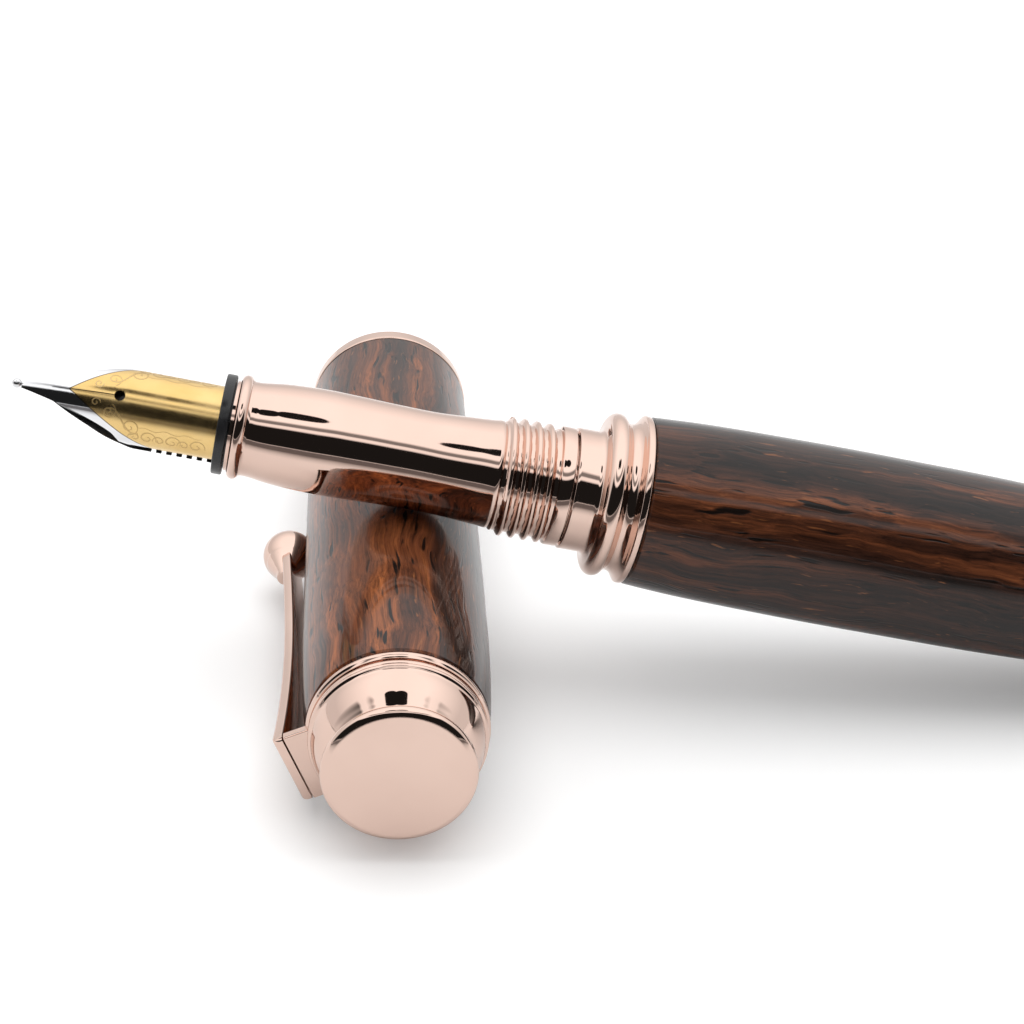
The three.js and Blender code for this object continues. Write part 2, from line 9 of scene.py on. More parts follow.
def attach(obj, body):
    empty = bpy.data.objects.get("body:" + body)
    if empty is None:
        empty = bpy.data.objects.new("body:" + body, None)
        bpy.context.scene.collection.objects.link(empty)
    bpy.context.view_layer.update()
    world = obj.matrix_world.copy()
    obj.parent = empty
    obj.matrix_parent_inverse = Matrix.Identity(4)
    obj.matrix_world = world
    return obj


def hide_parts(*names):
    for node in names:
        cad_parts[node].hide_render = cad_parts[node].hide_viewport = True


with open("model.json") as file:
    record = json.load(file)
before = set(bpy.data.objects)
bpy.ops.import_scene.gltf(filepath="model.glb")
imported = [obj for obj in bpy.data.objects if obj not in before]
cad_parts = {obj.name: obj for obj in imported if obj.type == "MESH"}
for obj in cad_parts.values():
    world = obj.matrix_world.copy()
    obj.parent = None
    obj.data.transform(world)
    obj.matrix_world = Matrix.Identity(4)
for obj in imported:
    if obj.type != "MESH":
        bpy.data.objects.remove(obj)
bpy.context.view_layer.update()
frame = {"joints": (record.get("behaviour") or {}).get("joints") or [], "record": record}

MM = 0.001
AROUND = 144  # facets round a turned piece
THREAD_PITCH = 1.13  # of the thread that joins cap and section, in millimetres
GRAIN = "along_piece"  # each vertex's place measured along its own piece's axis

# ------------------------------------------------------------------ the two axes, from the frame
joints = {joint["name"]: joint for joint in frame["joints"]}
mounts = {mount["name"]: mount for mount in frame["record"]["mounts"]}

NIB_JOINT_STATION = 40 * MM
FINIAL_FACE_STATION = -6.02 * MM
NIB_ROLL = math.radians(50)

pen_along = Vector(joints["nib_unscrew"]["axis"]).normalized()
pen_origin = Vector(joints["nib_unscrew"]["pos_m"]) - pen_along * NIB_JOINT_STATION
pen_up = (Vector((0, 0, 1)) - pen_along * pen_along.z).normalized()
pen_near = pen_along.cross(pen_up)
pen_near = pen_near if pen_near.y < 0 else -pen_near
nib_way = pen_up * math.cos(NIB_ROLL) + pen_near * math.sin(NIB_ROLL)

cap_along = -Vector(mounts["cap_finial_face"]["axis"]).normalized()
cap_origin = Vector(mounts["cap_finial_face"]["pos_m"]) - cap_along * FINIAL_FACE_STATION
clip_side = Vector(joints["clip_flex"]["axis"]).normalized()
clip_way = clip_side.cross(cap_along)


def axes(origin, x, y, z):
    """A matrix whose columns are the three directions, placed at origin."""
    matrix = Matrix.Identity(4)
    for column, direction in enumerate((x, y, z, origin)):
        for row in range(3):
            matrix[row][column] = direction[row]
    return matrix


PEN = axes(pen_origin, nib_way.cross(pen_along), nib_way, pen_along)
CAP = axes(cap_origin, clip_way, clip_side, cap_along)


# ------------------------------------------------------------------ outlines, in millimetres
def arc(centre_r, centre_z, radius, start, end, steps=10):
    """Points on a circle in the [radius, z] plane; 0 degrees points away from the axis."""
    points = []
    for i in range(steps + 1):
        angle = math.radians(start + (end - start) * i / steps)
        points.append((centre_r + radius * math.cos(angle), centre_z + radius * math.sin(angle)))
    return points


def smooth(knots, steps=8):
    """A centripetal curve through [radius, z] knots, steps points to a span."""
    pts = [Vector((r, z, 0)) for r, z in knots]
    pts = [pts[0] * 2 - pts[1]] + pts + [pts[-1] * 2 - pts[-2]]
    out = []
    for i in range(1, len(pts) - 2):
        p0, p1, p2, p3 = pts[i - 1 : i + 3]
        t1 = (p1 - p0).length ** 0.5
        t2 = t1 + (p2 - p1).length ** 0.5
        t3 = t2 + (p3 - p2).length ** 0.5
        for step in range(steps):
            t = t1 + (t2 - t1) * step / steps
            a1 = p0 * ((t1 - t) / t1) + p1 * (t / t1)
            a2 = p1 * ((t2 - t) / (t2 - t1)) + p2 * ((t - t1) / (t2 - t1))
            a3 = p2 * ((t3 - t) / (t3 - t2)) + p3 * ((t - t2) / (t3 - t2))
            b1 = a1 * ((t2 - t) / t2) + a2 * (t / t2)
            b2 = a2 * ((t3 - t) / (t3 - t1)) + a3 * ((t - t1) / (t3 - t1))
            c = b1 * ((t2 - t) / (t2 - t1)) + b2 * ((t - t1) / (t2 - t1))
            out.append((c.x, c.y))
    return out + [tuple(knots[-1])]


# ------------------------------------------------------------------ mesh helpers
def finish_mesh(name, mesh_builder, matrix, body, material, nodes, sharp=38):
    """Turns a bmesh into a shown piece that rides on its body."""
    mesh = bpy.data.meshes.new(name)
    bmesh.ops.recalc_face_normals(mesh_builder, faces=mesh_builder.faces)
    mesh_builder.to_mesh(mesh)
    mesh_builder.free()
    local = mesh.attributes.new(GRAIN, "FLOAT_VECTOR", "POINT")
    local.data.foreach_set("vector", [c for vert in mesh.vertices for c in vert.co])
    mesh.transform(matrix)
    mesh.shade_smooth()
    mesh.set_sharp_from_angle(angle=math.radians(sharp))
    piece = bpy.data.objects.new(name, mesh)
    bpy.context.scene.collection.objects.link(piece)
    mesh.materials.append(material)
    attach(piece, body)
    if nodes:
        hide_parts(*nodes)
    return piece


def turned(name, outline, matrix, body, material, nodes=(), around=AROUND, wobble=None):
    """A solid of revolution. The outline closes on itself unless it starts on the axis."""
    builder = bmesh.new()
    closed = outline[0][0] > 1e-6
    rings = []
    for radius, z in outline:
        if radius < 1e-6:
            rings.append([builder.verts.new((0, 0, z * MM))])
            continue
        ring = []
        for k in range(around):
            turn = 2 * math.pi * k / around
            reach = radius + (wobble(turn, z, radius) if wobble else 0)
            ring.append(builder.verts.new((reach * MM * math.cos(turn), reach * MM * math.sin(turn), z * MM)))
        rings.append(ring)
    pairs = list(zip(rings, rings[1:])) + ([(rings[-1], rings[0])] if closed else [])
    for a, b in pairs:
        for k in range(around):
            n = (k + 1) % around
            corners = [a[k % len(a)], a[n % len(a)], b[n % len(b)], b[k % len(b)]]
            unique = list(dict.fromkeys(corners))
            if len(unique) > 2:
                builder.faces.new(unique)
    return finish_mesh(name, builder, matrix, body, material, nodes)


# ------------------------------------------------------------------ materials
def new_material(name):
    """A node material with its Principled shader and a helper that adds linked nodes."""
    material = bpy.data.materials.new(name)
    material.use_nodes = True
    tree = material.node_tree
    shader = tree.nodes["Principled BSDF"]

    def node(kind, inputs=None, **settings):
        made = tree.nodes.new(kind)
        for key, value in settings.items():
            setattr(made, key, value)
        for key, value in (inputs or {}).items():
            if isinstance(value, bpy.types.NodeSocket):
                tree.links.new(value, made.inputs[key])
            else:
                made.inputs[key].default_value = value
        return made

    def link(output, socket):
        tree.links.new(output, shader.inputs[socket])

    return material, shader, node, link


def ramp(node, factor, stops):
    """A colour ramp with the given (position, colour) stops."""
    made = node("ShaderNodeValToRGB", {"Fac": factor})
    elements = made.color_ramp.elements
    while len(elements) < len(stops):
        elements.new(0.5)
    for element, (position, colour) in zip(elements, stops):
        element.position = position
        element.color = (*colour, 1) if len(colour) == 3 else colour
    return made.outputs["Color"]


def grey(value):
    return (value, value, value)


def mixed_colour(node, factor, first, second, blend="MIX"):
    """One colour laid over another by a factor."""
    made = node("ShaderNodeMix", {0: factor, 6: first, 7: second}, data_type="RGBA", blend_type=blend)
    return made.outputs[2]


def multiply_add(node, value, by, plus):
    made = node("ShaderNodeMath", {0: value, 1: by, 2: plus}, operation="MULTIPLY_ADD")
    return made.outputs[0]


def along_piece(node):
    """Coordinates that run along the piece's own axis and ride with it."""
    return node("ShaderNodeAttribute", attribute_name=GRAIN).outputs["Vector"]


def stretched(node, scale):
    """Those coordinates scaled differently along the piece, for grain and scratches."""
    where = along_piece(node)
    return node("ShaderNodeMapping", {"Vector": where, "Scale": scale}).outputs["Vector"]


def plated_metal(name, low, high, polish=0.035, haze=0.09, scratch=0.02):
    """Mirror plating: a faint tint drift, handling haze and hairline scratches round the piece."""
    material, shader, node, link = new_material(name)
    where = along_piece(node)
    drift = node("ShaderNodeTexNoise", {"Vector": where, "Scale": 120, "Detail": 3}).outputs["Fac"]
    link(ramp(node, drift, [(0.3, low), (0.7, high)]), "Base Color")
    smudge = node("ShaderNodeTexNoise", {"Vector": where, "Scale": 260, "Detail": 5, "Roughness": 0.65})
    link(ramp(node, smudge.outputs["Fac"], [(0.45, grey(polish)), (0.8, grey(haze))]), "Roughness")
    lines = node("ShaderNodeTexNoise", {"Vector": stretched(node, (900, 900, 5200)), "Scale": 1, "Detail": 2})
    bump = node("ShaderNodeBump", {"Height": lines.outputs["Fac"], "Strength": scratch, "Distance": 0.00002})
    link(bump.outputs["Normal"], "Normal")
    shader.inputs["Metallic"].default_value = 1
    return material


def wood_material(name, seed, warm):
    """Dark figured hardwood: layered streaks along the grain, flecks, open pores, glossy finish."""
    material, shader, node, link = new_material(name)
    where = along_piece(node)
    moved = node("ShaderNodeMapping", {"Vector": where, "Location": seed}).outputs["Vector"]
    warp = node("ShaderNodeTexNoise", {"Vector": moved, "Scale": 60, "Detail": 3}).outputs["Color"]
    bent = mixed_colour(node, 0.0042, moved, warp)

    def grain(scale, detail=4, roughness=0.6, distortion=0.0):
        placed = node("ShaderNodeMapping", {"Vector": bent, "Scale": scale}).outputs["Vector"]
        made = node("ShaderNodeTexNoise", {"Vector": placed, "Scale": 1, "Detail": detail,
                                           "Roughness": roughness, "Distortion": distortion})
        return made.outputs["Fac"]

    broad = grain((190, 190, 9), 3, 0.5, 0.4)
    streaks = grain((620, 620, 22), 5, 0.62, 0.3)
    fibres = grain((4000, 4000, 70), 5, 0.72)
    flecks = grain((3000, 3000, 330), 2, 0.55)
    mixed = node("ShaderNodeMath", {0: broad, 1: 0.55}, operation="MULTIPLY").outputs[0]
    mixed = multiply_add(node, streaks, 0.45, mixed)
    dark, deep = (0.010, 0.0045, 0.0030), (0.040, 0.0135, 0.0070)
    brown, orange = (0.120, 0.036, 0.0140), (0.300, 0.092, 0.028)
    low = 0.5 - warm
    tones = [(low - 0.10, dark), (low - 0.02, deep), (low + 0.05, brown), (low + 0.17, orange)]
    base = ramp(node, mixed, tones)
    tone = ramp(node, fibres, [(0.36, grey(0.25)), (0.64, grey(1.7))])
    base = mixed_colour(node, 0.75, base, tone, "MULTIPLY")
    light = ramp(node, flecks, [(0.66, grey(0)), (0.74, grey(0.55))])
    base = mixed_colour(node, light, base, (0.30, 0.105, 0.035, 1))
    pores = grain((2100, 2100, 190), 1, 0.4)
    holes = ramp(node, pores, [(0.30, grey(1)), (0.37, grey(0))])
    base = mixed_colour(node, holes, base, (0.006, 0.003, 0.002, 1))
    link(base, "Base Color")
    sheen = ramp(node, streaks, [(0.35, grey(0.30)), (0.7, grey(0.42))])
    link(sheen, "Roughness")
    pits = node("ShaderNodeMath", {0: holes, 1: -1.0}, operation="MULTIPLY").outputs[0]
    swell = multiply_add(node, streaks, 0.9, pits)
    bump = node("ShaderNodeBump", {"Height": swell, "Strength": 0.28, "Distance": 0.00006}).outputs["Normal"]
    link(bump, "Normal")
    film = node("ShaderNodeBump", {"Height": swell, "Strength": 0.16, "Distance": 0.00004}).outputs["Normal"]
    link(film, "Coat Normal")
    shader.inputs["Coat Weight"].default_value = 0.55
    shader.inputs["Coat Roughness"].default_value = 0.045
    shader.inputs["Specular IOR Level"].default_value = 0.12
    return material


def plastic(name, low, high, rough=(0.22, 0.34), transmission=0.0):
    """Moulded plastic: slight tone drift, flow haze and fine surface grain."""
    material, shader, node, link = new_material(name)
    where = along_piece(node)
    drift = node("ShaderNodeTexNoise", {"Vector": where, "Scale": 400, "Detail": 4}).outputs["Fac"]
    link(ramp(node, drift, [(0.3, low), (0.7, high)]), "Base Color")
    link(ramp(node, drift, [(0.35, grey(rough[0])), (0.7, grey(rough[1]))]), "Roughness")
    fine = node("ShaderNodeTexNoise", {"Vector": where, "Scale": 4200, "Detail": 2}).outputs["Fac"]
    bump = node("ShaderNodeBump", {"Height": fine, "Strength": 0.12, "Distance": 0.00002}).outputs["Normal"]
    link(bump, "Normal")
    shader.inputs["Transmission Weight"].default_value = transmission
    return material


V_STATION = 49.9  # where the two plating colours meet at the slit, in millimetres
V_SLOPE = 1.42  # how far their border runs back for each millimetre out from the slit


def nib_material():
    """Gold plate on the body and bright steel on the tines, parted by a V with a scribed line."""
    material, shader, node, link = new_material("nib_two_tone")
    uv = node("ShaderNodeUVMap", uv_map="nib").outputs["UV"]
    parts = node("ShaderNodeSeparateXYZ", {"Vector": uv})
    across = node("ShaderNodeMath", {0: parts.outputs["X"]}, operation="ABSOLUTE").outputs[0]
    v_edge = multiply_add(node, across, V_SLOPE, parts.outputs["Y"])
    past = node("ShaderNodeMath", {0: v_edge, 1: V_STATION}, operation="SUBTRACT").outputs[0]
    plated = ramp(node, multiply_add(node, past, 14.0, 0.5), [(0.35, grey(1)), (0.65, grey(0))])
    where = along_piece(node)
    drift = node("ShaderNodeTexNoise", {"Vector": where, "Scale": 300, "Detail": 3}).outputs["Fac"]
    gold = ramp(node, drift, [(0.3, (0.74, 0.50, 0.19)), (0.7, (0.83, 0.59, 0.26))])
    steel = ramp(node, drift, [(0.3, (0.78, 0.78, 0.80)), (0.7, (0.86, 0.86, 0.88))])
    colour = mixed_colour(node, plated, steel, gold)
    away = node("ShaderNodeMath", {0: past}, operation="ABSOLUTE").outputs[0]
    scribe = ramp(node, away, [(0.0, grey(1)), (0.07, grey(1)), (0.1, grey(0))])
    colour = mixed_colour(node, scribe, colour, (0.22, 0.17, 0.11, 1))
    link(colour, "Base Color")
    brushed = ramp(node, drift, [(0.35, grey(0.15)), (0.7, grey(0.24))])
    bright = node("ShaderNodeMix", {2: 0.07, 3: brushed, 0: plated}).outputs[0]
    link(bright, "Roughness")
    hairlines = stretched(node, (5200, 5200, 500))
    lines = node("ShaderNodeTexNoise", {"Vector": hairlines, "Scale": 1, "Detail": 2}).outputs["Fac"]
    height = multiply_add(node, scribe, -1.5, lines)
    bump = node("ShaderNodeBump", {"Height": height, "Strength": 0.05, "Distance": 0.00002}).outputs["Normal"]
    link(bump, "Normal")
    shader.inputs["Metallic"].default_value = 1
    return material


rose_gold = plated_metal("rose_gold", (0.715, 0.52, 0.44), (0.765, 0.565, 0.48))
engraving = plated_metal("engraved_line", (0.60, 0.41, 0.17), (0.72, 0.51, 0.24), 0.42, 0.55)
tipping_metal = plated_metal("tipping_metal", (0.70, 0.70, 0.71), (0.80, 0.80, 0.81), 0.12, 0.22)
steel = plated_metal("satin_steel", (0.55, 0.56, 0.58), (0.66, 0.67, 0.69), 0.24, 0.38, 0.12)
brass = plated_metal("scuffed_brass", (0.66, 0.45, 0.17), (0.80, 0.58, 0.26), 0.22, 0.42, 0.25)
black_plastic = plastic("black_plastic", (0.006, 0.006, 0.007), (0.018, 0.018, 0.020))
seal_rubber = plastic("seal_rubber", (0.012, 0.012, 0.012), (0.030, 0.029, 0.028), (0.45, 0.62))
clear_plastic = plastic("clear_plastic", (0.80, 0.84, 0.86), (0.90, 0.93, 0.95), (0.03, 0.09), 0.92)
cap_timber = wood_material("cap_timber", (0.013, 0.027, 0.04), 0.028)
barrel_timber = wood_material("barrel_timber", (0.051, -0.033, 0.11), -0.03)
nib_finish = nib_material()



# ------------------------------------------------------------------ cap
def wood_skin(amplitude, seed):
    """Slight unevenness of hand-finished wood, in millimetres."""
    def depth(turn, z, radius):
        place = Vector((math.cos(turn) * 2.2 + seed, math.sin(turn) * 2.2, z * 0.12))
        return amplitude * (noise.noise(place) - 0.3)
    return depth


def wood_outline(outside, bore, steps=14):
    """The outside curve with eased ends, closed along the bore."""
    curve = smooth(outside, steps)
    start, end = curve[0], curve[-1]
    step = 0.15 if end[1] > start[1] else -0.15
    curve[0] = (start[0], start[1] + step)
    curve[-1] = (end[0], end[1] - step)
    rim = [(start[0] - 0.15, start[1])] + curve + [(end[0] - 0.15, end[1])]
    return [(bore, start[1])] + rim + [(bore, end[1])]


cap_outside = [(7.40, 0.86), (7.62, 3.2), (7.78, 6), (7.92, 10.5), (8.02, 16), (8.12, 30)]
cap_outside += [(8.17, 45), (8.14, 62.05)]
turned("cap_wood_turned", wood_outline(cap_outside, 6.8), CAP, "cap", cap_timber, ["cap_wood"],
       wobble=wood_skin(0.03, 3))

lip_ring = [(5.9, 62.1), (7.95, 62.1)] + arc(8.0, 62.3, 0.2, -90, 0, 5) + [(8.2, 62.6)]
lip_ring += arc(7.3, 63.6, 0.9, 0, 90, 16) + [(6.5, 64.5)] + arc(6.3, 64.1, 0.4, 90, 180, 8)
turned("cap_lip_ring_polished", lip_ring, CAP, "cap", rose_gold, ["cap_lip_ring"])


def ridges(bore, crest, start, count, pitch):
    """Rounded thread ridges down from start, as outline points."""
    points = []
    for i in range(count):
        z = start - i * pitch
        points += [(bore, z), (bore, z - pitch * 0.25), (crest, z - pitch * 0.45), (crest, z - pitch * 0.6),
                   (bore, z - pitch * 0.85)]
    return points


insert = [(6.2, 53.0), (6.2, 61.9), (6.0, 61.98), (5.85, 61.9)]
insert += ridges(5.85, 5.55, 61.2, 5, THREAD_PITCH) + [(5.85, 53.0)]
turned("cap_thread_insert_moulded", insert, CAP, "cap", black_plastic, ["cap_thread_insert"])
cup = [(0, 9), (6.1, 9), (6.2, 9.1), (6.2, 37.8), (6.0, 38), (5.4, 38)] + arc(5.35, 37.5, 0.5, 90, 180, 5)
cup += [(4.85, 36.9), (4.85, 10.9), (4.35, 10.4), (0, 10.4)]
turned("inner_cap_moulded", cup, CAP, "cap", black_plastic, ["inner_cap"])

sleeve = [(6.3, 1.0), (6.65, 1.0), (6.7, 1.05), (6.7, 61.9), (6.65, 61.95), (6.3, 61.95)]
turned("cap_tube_turned", sleeve, CAP, "cap", brass, ["cap_tube"])
bush = [(2.0, 0.92), (6.0, 0.92), (6.2, 1.1), (6.2, 6.8), (6.0, 7.0), (2.2, 7.0), (2.0, 6.8)]
turned("cap_bushing_turned", bush, CAP, "cap", brass, ["cap_bushing"])
stud = [(0, -4.7), (1.7, -4.7), (1.9, -4.5), (1.9, -1.5)]
stud += [(1.9 - 0.16 * (k % 2), -1.4 + k * 0.25) for k in range(35)] + [(1.7, 7.6), (0, 7.6)]
turned("finial_stud_threaded", stud, CAP, "cap", steel, ["finial_stud"], around=48)

bell = [(2.0, -0.12), (6.9, -0.12)] + arc(6.85, -0.44, 0.32, 80, -50, 10) + arc(6.95, -0.92, 0.26, 60, -70, 8)
shoulder = [(6.93, -1.3), (6.8, -1.8), (6.56, -2.4), (6.18, -3.1), (5.7, -3.75), (5.36, -4.25), (5.3, -4.7)]
bell += smooth(shoulder, 6)
bell += [(2.0, -4.7)]
turned("cap_bell_polished", bell, CAP, "cap", rose_gold, ["cap_bell"])

finial = [(0, -4.76), (5.1, -4.76), (5.3, -4.8)] + arc(5.62, -5.37, 0.55, 100, -60, 18)
finial += arc(5.5, -5.54, 0.48, -60, -90, 5) + [(5.2, -6.02), (0, -6.02)]
turned("cap_finial_polished", finial, CAP, "cap", rose_gold, ["cap_finial"])


def clip_bracket():
    """The clip's ring and the plate that reaches out from it, with eased edges."""
    ring = [(2.0, 0.0), (7.18, 0.0)] + arc(7.1, 0.4, 0.32, -60, 60, 8) + [(7.1, 0.8), (2.0, 0.8)]
    turned("clip_ring_polished", ring, CAP, "cap", rose_gold)
    builder = bmesh.new()
    half, near, far = 3.2, 4.6, 8.58
    bmesh.ops.create_cube(builder, size=1)
    for vert in builder.verts:
        vert.co.x = (far if vert.co.x > 0 else near) * MM
        vert.co.y *= 2 * half * MM
        vert.co.z = (0.4 + vert.co.z * 0.78) * MM
    edges = [e for e in builder.edges if abs(e.verts[0].co.x - e.verts[1].co.x) > MM]
    bmesh.ops.bevel(builder, geom=edges, offset=0.14 * MM, segments=3, affect="EDGES")
    finish_mesh("clip_plate_polished", builder, CAP, "cap", rose_gold, ["clip_bracket"])


def clip_arm():
    """A strap swept from the bend to the ball, wide at the bend, with rounded edges."""
    ball_station, ball_radius, ball_reach = 36.5, 2.5, 10.7
    thickness = 0.9
    spine = [(8.72, 0.42), (8.9, 0.42)] + [(8.95 + 0.2 * math.sin(a), 0.62 - 0.2 * math.cos(a))
                                          for a in (0.4, 0.8, 1.2, math.pi / 2)]
    last_reach = ball_reach - 0.2
    for i in range(1, 37):
        t = i / 36
        spine.append((9.15 + (last_reach - 9.15) * t * t, 0.62 + (ball_station - 0.9) * t))
    builder = bmesh.new()
    rows = []
    for i, (reach, z) in enumerate(spine):
        a = Vector(spine[max(i - 1, 0)])
        b = Vector(spine[min(i + 1, len(spine) - 1)])
        way = (b - a).normalized()
        out = Vector((way.y, -way.x))
        t = max(0.0, z) / ball_station
        half = 1.5 + 1.7 * (1 - min(1, t / 0.62)) ** 2.0
        half -= 0.5 * max(0, (t - 0.93) / 0.07) ** 2
        row = []
        for corner_x, corner_y, start in ((1, 1, 0), (-1, 1, 90), (-1, -1, 180), (1, -1, 270)):
            for k in range(5):
                angle = math.radians(start + 22.5 * k)
                soft = 0.2
                side = corner_y * (half - soft) + soft * math.sin(angle)
                up = corner_x * (thickness / 2 - soft) + soft * math.cos(angle)
                row.append((side, up))
        ring = []
        for side, up in row:
            place = Vector((reach, z)) + out * up
            ring.append(builder.verts.new((place.x * MM, side * MM, place.y * MM)))
        rows.append(ring)
    for a, b in zip(rows, rows[1:]):
        for k in range(len(a)):
            n = (k + 1) % len(a)
            builder.faces.new((a[k], a[n], b[n], b[k]))
    builder.faces.new(rows[0])
    builder.faces.new(list(reversed(rows[-1])))
    finish_mesh("clip_strap_polished", builder, CAP, "clip_arm", rose_gold, ["clip"], 50)
    drop = smooth([(0.75, -4.1), (0.95, -3.4), (1.3, -2.75), (1.97, -1.62)], 6)
    drop = [(0, -4.3)] + drop + arc(0, 0, ball_radius, -38, 88, 26) + [(0, ball_radius)]
    lean = Matrix.Rotation(-0.075, 4, "Y")
    ball_place = CAP @ Matrix.Translation((ball_reach * MM, 0, ball_station * MM)) @ lean
    turned("clip_ball_polished", drop, ball_place, "clip_arm", rose_gold,
           around=72)


clip_bracket()
clip_arm()

# ------------------------------------------------------------------ barrel
barrel_outside = [(6.7, -64), (6.98, -59), (7.45, -50), (7.95, -35), (8.05, -24), (7.97, -11)]
barrel_outside += [(7.8, -5), (7.5, -0.1)]
turned("barrel_wood_turned", wood_outline(barrel_outside, 5.85, 12), PEN, "barrel", barrel_timber,
       ["barrel_wood"], wobble=wood_skin(0.03, 8))
tube = [(5.35, -63.4), (5.65, -63.4), (5.75, -63.3), (5.75, -6.7), (5.65, -6.6), (5.35, -6.6)]
turned("barrel_tube_turned", tube, PEN, "barrel_lining", brass, ["barrel_tube"])

coupler = [(4.85, -6), (5.15, -6), (5.25, -5.9), (5.25, -0.02), (7.3, -0.02)]
coupler += arc(7.32, 0.18, 0.2, -90, 0, 5) + arc(7.3, 0.42, 0.22, 0, 80, 6)
coupler += smooth([(7.2, 0.75), (6.85, 1.0), (6.62, 1.35), (6.6, 1.7), (6.72, 1.95)], 5)
coupler += arc(6.42, 2.85, 0.88, -58, 92, 22)
coupler += smooth([(5.95, 3.78), (5.62, 3.9), (5.45, 4.15), (5.42, 4.5)], 5)
coupler += [(5.42, 5.9)] + arc(5.3, 6.06, 0.13, 10, 90, 5) + [(4.95, 6.2), (4.85, 6.1)]
turned("barrel_coupler_polished", coupler, PEN, "barrel_front", rose_gold, ["barrel_coupler"])

end_ring = [(2.0, -65.72), (6.0, -65.72)] + arc(6.1, -65.2, 0.52, -80, 0, 8) + arc(6.3, -64.6, 0.34, 0, 80, 7)
end_ring += [(6.3, -64.12), (5.25, -64.12), (5.25, -59.3), (5.1, -59.12), (2.0, -59.12)]
turned("barrel_end_ring_polished", end_ring, PEN, "barrel", rose_gold, ["barrel_end_ring"])
tip = [(0, -71.0), (2.6, -70.95), (3.3, -70.75)] + arc(4.3, -69.65, 0.85, -70, 75, 16)
tip += smooth([(4.38, -68.6), (4.2, -68.2), (4.25, -67.7), (4.6, -66.9), (5.15, -66.2), (5.6, -65.9)], 6)
tip += [(5.6, -65.86), (1.9, -65.84), (1.9, -60.84), (0, -60.84)]
turned("barrel_finial_polished", tip, PEN, "barrel", rose_gold, ["barrel_finial"])


# ------------------------------------------------------------------ section
def section_grip():
    """Bead, waisted grip, helical thread, land and the stub that the barrel screws onto."""
    thread_low, thread_high, root, crest = 7.62, 12.5, 4.86, 5.28
    rear = [(3.85, -5.65), (4.45, -5.65), (4.75, -5.3), (4.75, 6.32), (5.1, 6.36)]
    rear += arc(5.16, 6.5, 0.14, -60, 0, 4) + [(5.3, 7.45), (5.24, 7.56)]
    grip = smooth([(4.8, 12.95), (4.72, 13.6), (4.62, 15), (4.42, 18.5), (4.46, 22), (4.57, 26), (4.6, 28.5),
                   (4.42, 32), (4.16, 34.0), (4.14, 34.55)], 10)
    bead = arc(4.04, 35.3, 0.53, -72, 90, 20)
    front = [(4.7, 12.62), (4.78, 12.75)] + grip + bead + [(3.95, 35.86), (3.95, 36.1), (3.8, 36.1)]
    bores = [(3.8, 24), (2.3, 24), (2.3, 19.6), (3.85, 19)]
    samples = 84
    builder = bmesh.new()
    rings = []

    def ring_of(points_at):
        return [builder.verts.new(points_at(2 * math.pi * k / AROUND)) for k in range(AROUND)]

    def plain(radius, z):
        return lambda turn: (radius * MM * math.cos(turn), radius * MM * math.sin(turn), z * MM)

    def threaded(z):
        fade = min(1, (z - thread_low) / 0.35, (thread_high - z) / 0.35)

        def place(turn):
            phase = ((z - thread_low) / THREAD_PITCH - turn / (2 * math.pi)) % 1
            ridge = max(0.0, 1 - abs(phase - 0.5) / 0.36) ** 0.75
            radius = root + (crest - root) * min(1, ridge * 1.25) * max(0, fade)
            return (radius * MM * math.cos(turn), radius * MM * math.sin(turn), z * MM)

        return place

    rings += [ring_of(plain(r, z)) for r, z in rear]
    step = (thread_high - thread_low) / samples
    rings += [ring_of(threaded(thread_low + step * i)) for i in range(samples + 1)]
    rings += [ring_of(plain(r, z)) for r, z in front + bores]
    for a, b in zip(rings, rings[1:] + rings[:1]):
        for k in range(AROUND):
            n = (k + 1) % AROUND
            builder.faces.new((a[k], a[n], b[n], b[k]))
    finish_mesh("section_grip_polished", builder, PEN, "section", rose_gold,
                ["section_grip"], 48)


section_grip()

# ------------------------------------------------------------------ nib unit
NIB_BASE, NIB_SHOULDER, NIB_TIP = 30.0, 45.2, 54.0
NIB_RADIUS, NIB_THICKNESS = 3.25, 0.32
HOLE_STATION, HOLE_RADIUS, SLIT_HALF = 45.6, 0.46, 0.035


def nib_station(z):
    """Top height, arc radius and half angle of the nib at a station along the pen."""
    tine = max(0.0, (z - NIB_SHOULDER) / (NIB_TIP - NIB_SHOULDER))
    blend = min(1.0, max(0.0, (z - NIB_SHOULDER + 1.6) / 2.4))
    blend = blend * blend * (3 - 2 * blend)
    top = NIB_RADIUS - 2.1 * tine ** 1.6
    radius = NIB_RADIUS - 0.9 * tine
    width = NIB_RADIUS * 0.985 + (0.36 - NIB_RADIUS * 0.985) * tine ** 0.86
    tine_angle = math.asin(min(0.999, width / radius))
    return top, radius, math.radians(100) * (1 - blend) + tine_angle * blend


def nib_point(z, angle, lift=0.0):
    """A point on the nib's outer skin, lifted off it by so many millimetres."""
    top, radius, _ = nib_station(z)
    reach = radius + lift
    return (reach * math.sin(angle) * MM, (top - radius + reach * math.cos(angle)) * MM, z * MM)


def nib_inner_edge(z):
    """Half width of the slit or breather hole at a station."""
    to_hole = abs(z - HOLE_STATION)
    hole = math.sqrt(max(0.0, HOLE_RADIUS ** 2 - to_hole ** 2))
    return max(hole, SLIT_HALF if z > HOLE_STATION else 0.0)


